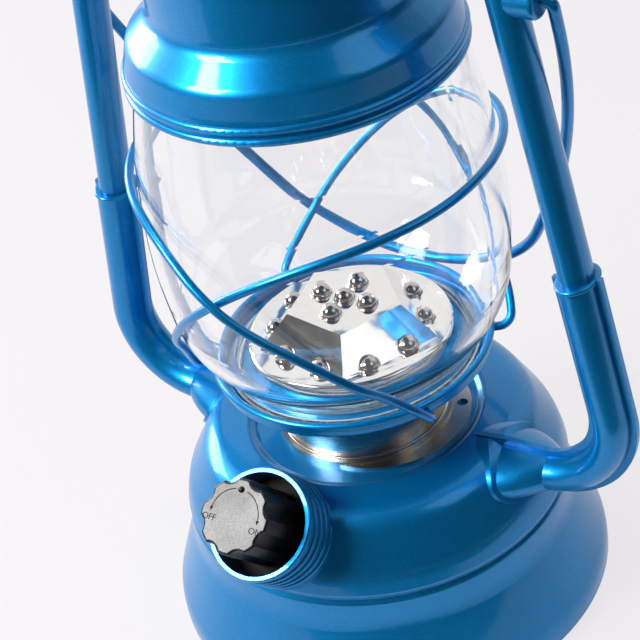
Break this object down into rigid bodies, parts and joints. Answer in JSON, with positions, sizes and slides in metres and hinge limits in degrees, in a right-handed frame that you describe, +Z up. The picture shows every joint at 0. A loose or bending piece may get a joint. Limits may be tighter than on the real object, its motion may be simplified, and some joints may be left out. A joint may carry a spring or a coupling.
{
  "type": "camping lantern",
  "caption": "Hurricane-style LED camping lantern: glass globe in a wire guard on a domed battery tank, with side tubes, lifting hood, swinging bail and a dimmer knob.",
  "frame": {"origin": "centre of the ring that the lantern stands on, on the table plane", "axes": "+Z up along the globe axis, +X to the right-hand side tube, -Y to the dimmer knob"},
  "size_m": [0.1536, 0.1234, 0.2402],
  "materials": {
    "blue_paint": "metallic gloss paint on pressed sheet",
    "blue_wire": "gloss paint on steel wire",
    "black_plastic": "matt moulded plastic",
    "knob_plastic": "satin moulded plastic",
    "cell_jacket": "plain metal jacket",
    "spring_steel": "nickel-plated spring steel",
    "steel": "bare steel",
    "rubber": "pale grey silicone",
    "globe_glass": "clear blown glass",
    "chrome_plate": "vacuum-plated plastic",
    "led_lens": "clear epoxy",
    "board": "solder resist",
    "lead_jacket": "flexible insulation"
  },
  "bodies": {
    "lantern_frame": {"tank_shell": "blue_paint", "base_pan": "blue_paint", "battery_tray": "black_plastic", "battery_cell_rear": "cell_jacket", "battery_cell_front": "cell_jacket", "contact_plate_rear": "spring_steel", "contact_plate_front": "spring_steel", "contact_spring_rear": "spring_steel", "contact_spring_front": "spring_steel", "dimmer_neck": "blue_paint", "dimmer_bezel": "black_plastic", "dimmer_body": "black_plastic", "dimmer_nut": "steel", "collar": "steel", "collar_foot_plate": "steel", "globe_plate": "blue_paint", "globe_gasket": "rubber", "globe": "globe_glass", "reflector": "chrome_plate", "leds": "led_lens", "led_board": "board", "turret_board": "board", "hood_spring": "spring_steel", "crown": "blue_paint", "lower_elbow_right": "blue_paint", "lower_elbow_left": "blue_paint", "upper_tube_right": "blue_paint", "upper_tube_left": "blue_paint", "bail_ear_right": "blue_paint", "bail_ear_left": "blue_paint", "lead_dimmer_to_lamp": "lead_jacket", "lead_cell_to_dimmer": "lead_jacket", "lead_cell_to_lamp": "lead_jacket", "guard_wire_right_high": "blue_wire", "guard_wire_left_high": "blue_wire"},
    "hood": {"hood": "blue_paint", "chimney_cap": "blue_paint", "lift_eye": "blue_wire"},
    "lift_ring": {"lift_ring": "blue_wire"},
    "bail": {"bail": "blue_wire"},
    "knob": {"dimmer_knob": "knob_plastic", "dimmer_shaft": "steel"},
    "door": {"battery_door": "black_plastic"}
  },
  "joints": [
    {"name": "bail_swing", "type": "hinge", "parent": "lantern_frame", "child": "bail", "pos_m": [0, 0, 0.177], "axis": [1, 0, 0], "range_deg": [0, 318]},
    {"name": "knob_turn", "type": "hinge", "parent": "lantern_frame", "child": "knob", "pos_m": [0, -0.051, 0.0545], "axis": [0, -0.6428, 0.766], "range_deg": [-280, 0]},
    {"name": "hood_lift", "type": "slide", "parent": "lantern_frame", "child": "hood", "axis": [0, 0, 1], "range_m": [0, 0.01], "stiffness_N_per_m": 150, "springref_m": -0.02, "deforming": ["hood_spring"]},
    {"name": "ring_flop", "type": "hinge", "parent": "hood", "child": "lift_ring", "pos_m": [0, 0, 0.2364], "axis": [1, 0, 0], "range_deg": [0, 190]},
    {"name": "door_twist", "type": "hinge", "parent": "lantern_frame", "child": "door", "pos_m": [0, 0, 0], "axis": [0, 0, 1], "range_deg": [0, 30]}
  ]
}
